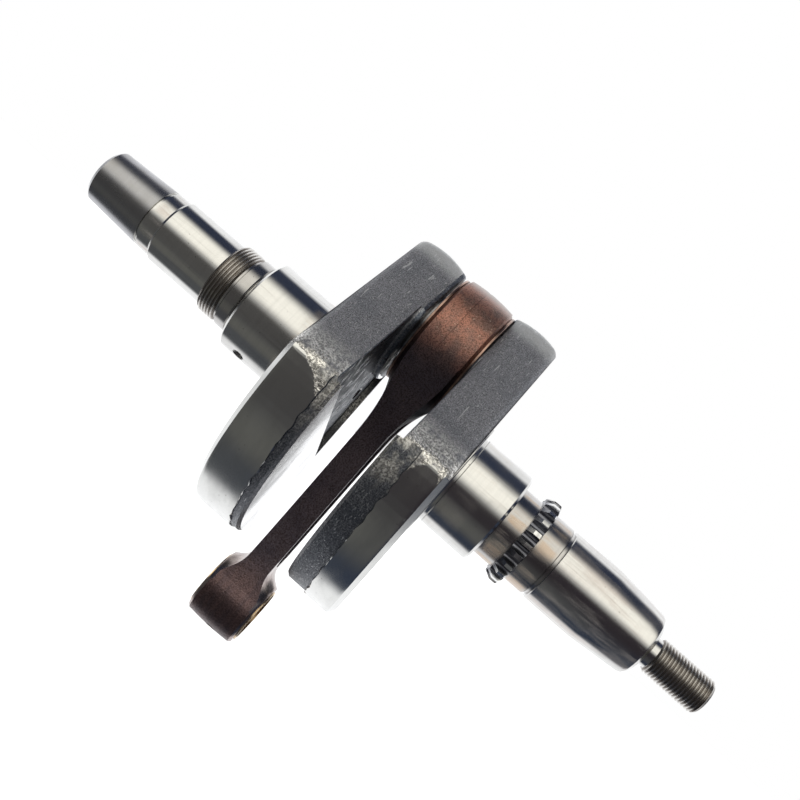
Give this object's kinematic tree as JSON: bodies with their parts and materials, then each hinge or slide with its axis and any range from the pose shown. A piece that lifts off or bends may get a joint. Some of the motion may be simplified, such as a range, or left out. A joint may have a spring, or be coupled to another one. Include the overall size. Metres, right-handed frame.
{
  "type": "motorcycle engine crankshaft",
  "caption": "Built-up crankshaft with two forged webs, pressed crank pin, roller-bearing connecting rod, long journals, timing teeth, tapers and threaded ends.",
  "frame": {"origin": "on the shaft axis, midway between the two webs", "axes": "+X along the shaft from the drive side to the flywheel side, +Z from the shaft axis to the crank pin, so the connecting rod hangs towards -Z, and +Y towards the side with the key slot"},
  "size_m": [0.3176, 0.144, 0.1748],
  "materials": {
    "crank_steel": "forged and granular on the web flanks, ground and bright on the shaft and rim",
    "pin_steel": "ground",
    "plug_steel": "pressed sheet steel",
    "roller_steel": "polished",
    "cage_steel": "satin",
    "washer_bronze": "satin, copper tone",
    "rod_copper_brown": "forged steel with a dark copper-brown skin, bright at the turned edges",
    "bush_bronze": "satin"
  },
  "bodies": {
    "crank": {"left_crank_half": "crank_steel", "right_crank_half": "crank_steel", "crank_pin": "pin_steel", "crank_pin_plug_left": "plug_steel", "crank_pin_plug_right": "plug_steel"},
    "rod": {"connecting_rod": "rod_copper_brown", "small_end_bush": "bush_bronze"},
    "cage": {"big_end_cage": "cage_steel"},
    "washer_left": {"thrust_washer_left": "washer_bronze"},
    "washer_right": {"thrust_washer_right": "washer_bronze"},
    "roller_01": {"big_end_roller_01": "roller_steel"},
    "roller_02": {"big_end_roller_02": "roller_steel"},
    "roller_03": {"big_end_roller_03": "roller_steel"},
    "roller_04": {"big_end_roller_04": "roller_steel"},
    "roller_05": {"big_end_roller_05": "roller_steel"},
    "roller_06": {"big_end_roller_06": "roller_steel"},
    "roller_07": {"big_end_roller_07": "roller_steel"},
    "roller_08": {"big_end_roller_08": "roller_steel"},
    "roller_09": {"big_end_roller_09": "roller_steel"},
    "roller_10": {"big_end_roller_10": "roller_steel"},
    "roller_11": {"big_end_roller_11": "roller_steel"},
    "roller_12": {"big_end_roller_12": "roller_steel"},
    "roller_13": {"big_end_roller_13": "roller_steel"},
    "roller_14": {"big_end_roller_14": "roller_steel"},
    "roller_15": {"big_end_roller_15": "roller_steel"},
    "roller_16": {"big_end_roller_16": "roller_steel"}
  },
  "joints": [
    {"name": "rod_swing", "type": "hinge", "parent": "crank", "child": "rod", "pos_m": [0.0015, 0, 0.0385], "axis": [1, 0, 0], "continuous": true},
    {"name": "cage_spin", "type": "hinge", "parent": "crank", "child": "cage", "pos_m": [0.0015, 0, 0.0385], "axis": [1, 0, 0], "continuous": true},
    {"name": "washer_left_spin", "type": "hinge", "parent": "crank", "child": "washer_left", "pos_m": [-0.0103, 0, 0.0385], "axis": [1, 0, 0], "continuous": true},
    {"name": "washer_right_spin", "type": "hinge", "parent": "crank", "child": "washer_right", "pos_m": [0.01325, 0, 0.0385], "axis": [1, 0, 0], "continuous": true},
    {"name": "roller_01_spin", "type": "hinge", "parent": "cage", "child": "roller_01", "pos_m": [0.0015, 0.01913, 0.0423], "axis": [1, 0, 0], "continuous": true},
    {"name": "roller_02_spin", "type": "hinge", "parent": "cage", "child": "roller_02", "pos_m": [0.0015, 0.01621, 0.04933], "axis": [1, 0, 0], "continuous": true},
    {"name": "roller_03_spin", "type": "hinge", "parent": "cage", "child": "roller_03", "pos_m": [0.0015, 0.01083, 0.05471], "axis": [1, 0, 0], "continuous": true},
    {"name": "roller_04_spin", "type": "hinge", "parent": "cage", "child": "roller_04", "pos_m": [0.0015, 0.0038, 0.05763], "axis": [1, 0, 0], "continuous": true},
    {"name": "roller_05_spin", "type": "hinge", "parent": "cage", "child": "roller_05", "pos_m": [0.0015, -0.0038, 0.05763], "axis": [1, 0, 0], "continuous": true},
    {"name": "roller_06_spin", "type": "hinge", "parent": "cage", "child": "roller_06", "pos_m": [0.0015, -0.01083, 0.05471], "axis": [1, 0, 0], "continuous": true},
    {"name": "roller_07_spin", "type": "hinge", "parent": "cage", "child": "roller_07", "pos_m": [0.0015, -0.01621, 0.04933], "axis": [1, 0, 0], "continuous": true},
    {"name": "roller_08_spin", "type": "hinge", "parent": "cage", "child": "roller_08", "pos_m": [0.0015, -0.01913, 0.0423], "axis": [1, 0, 0], "continuous": true},
    {"name": "roller_09_spin", "type": "hinge", "parent": "cage", "child": "roller_09", "pos_m": [0.0015, -0.01913, 0.0347], "axis": [1, 0, 0], "continuous": true},
    {"name": "roller_10_spin", "type": "hinge", "parent": "cage", "child": "roller_10", "pos_m": [0.0015, -0.01621, 0.02767], "axis": [1, 0, 0], "continuous": true},
    {"name": "roller_11_spin", "type": "hinge", "parent": "cage", "child": "roller_11", "pos_m": [0.0015, -0.01083, 0.02229], "axis": [1, 0, 0], "continuous": true},
    {"name": "roller_12_spin", "type": "hinge", "parent": "cage", "child": "roller_12", "pos_m": [0.0015, -0.0038, 0.01937], "axis": [1, 0, 0], "continuous": true},
    {"name": "roller_13_spin", "type": "hinge", "parent": "cage", "child": "roller_13", "pos_m": [0.0015, 0.0038, 0.01937], "axis": [1, 0, 0], "continuous": true},
    {"name": "roller_14_spin", "type": "hinge", "parent": "cage", "child": "roller_14", "pos_m": [0.0015, 0.01083, 0.02229], "axis": [1, 0, 0], "continuous": true},
    {"name": "roller_15_spin", "type": "hinge", "parent": "cage", "child": "roller_15", "pos_m": [0.0015, 0.01621, 0.02767], "axis": [1, 0, 0], "continuous": true},
    {"name": "roller_16_spin", "type": "hinge", "parent": "cage", "child": "roller_16", "pos_m": [0.0015, 0.01913, 0.0347], "axis": [1, 0, 0], "continuous": true}
  ],
  "couplings": [
    {"joint": "cage_spin", "follows": "rod_swing", "ratio": 0.5641},
    {"joint": "roller_01_spin", "follows": "rod_swing", "ratio": 3.8359},
    {"joint": "roller_02_spin", "follows": "rod_swing", "ratio": 3.8359},
    {"joint": "roller_03_spin", "follows": "rod_swing", "ratio": 3.8359},
    {"joint": "roller_04_spin", "follows": "rod_swing", "ratio": 3.8359},
    {"joint": "roller_05_spin", "follows": "rod_swing", "ratio": 3.8359},
    {"joint": "roller_06_spin", "follows": "rod_swing", "ratio": 3.8359},
    {"joint": "roller_07_spin", "follows": "rod_swing", "ratio": 3.8359},
    {"joint": "roller_08_spin", "follows": "rod_swing", "ratio": 3.8359},
    {"joint": "roller_09_spin", "follows": "rod_swing", "ratio": 3.8359},
    {"joint": "roller_10_spin", "follows": "rod_swing", "ratio": 3.8359},
    {"joint": "roller_11_spin", "follows": "rod_swing", "ratio": 3.8359},
    {"joint": "roller_12_spin", "follows": "rod_swing", "ratio": 3.8359},
    {"joint": "roller_13_spin", "follows": "rod_swing", "ratio": 3.8359},
    {"joint": "roller_14_spin", "follows": "rod_swing", "ratio": 3.8359},
    {"joint": "roller_15_spin", "follows": "rod_swing", "ratio": 3.8359},
    {"joint": "roller_16_spin", "follows": "rod_swing", "ratio": 3.8359}
  ]
}
